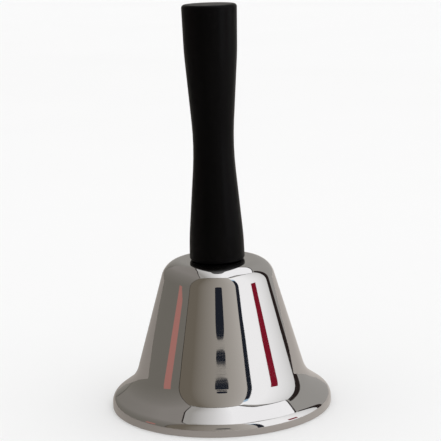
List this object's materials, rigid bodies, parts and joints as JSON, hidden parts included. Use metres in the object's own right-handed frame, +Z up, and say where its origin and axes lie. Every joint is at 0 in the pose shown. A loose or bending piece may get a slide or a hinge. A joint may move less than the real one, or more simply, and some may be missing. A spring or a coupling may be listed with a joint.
{
  "type": "hand bell",
  "caption": "Hand bell with a flared chrome-plated shell, a waisted black turned handle and a ball clapper that swings and swivels inside.",
  "frame": {"origin": "middle of the mouth, in the plane of the lip that the bell stands on", "axes": "+Z up along the bell's axis towards the handle's top; +Y along the clapper's rivet"},
  "size_m": [0.07, 0.07, 0.127],
  "materials": {
    "chrome_plate": "mirror-polished plating",
    "black_lacquered_wood": "satin black lacquer",
    "zinc_plated_steel": "bright zinc plating",
    "nickel_plated_ball": "polished nickel plating"
  },
  "bodies": {
    "bell": {"bell_shell": "chrome_plate", "handle": "black_lacquered_wood", "hanger_bolt": "zinc_plated_steel", "crown_washer": "zinc_plated_steel", "lock_washer": "zinc_plated_steel", "crown_nut": "zinc_plated_steel", "jam_nut": "zinc_plated_steel"},
    "hanger": {"clapper_hanger": "zinc_plated_steel", "pivot_rivet": "zinc_plated_steel"},
    "clapper": {"clapper_barrel": "zinc_plated_steel", "clapper_rod": "zinc_plated_steel", "clapper_ball": "nickel_plated_ball", "clapper_nuts": "zinc_plated_steel"}
  },
  "joints": [
    {"name": "hanger_swivel", "type": "hinge", "parent": "bell", "child": "hanger", "pos_m": [0, 0, 0.0405], "axis": [0, 0, 1], "continuous": true},
    {"name": "clapper_swing", "type": "hinge", "parent": "hanger", "child": "clapper", "pos_m": [0, 0, 0.0342], "axis": [0, 1, 0], "range_deg": [-47, 47]}
  ]
}
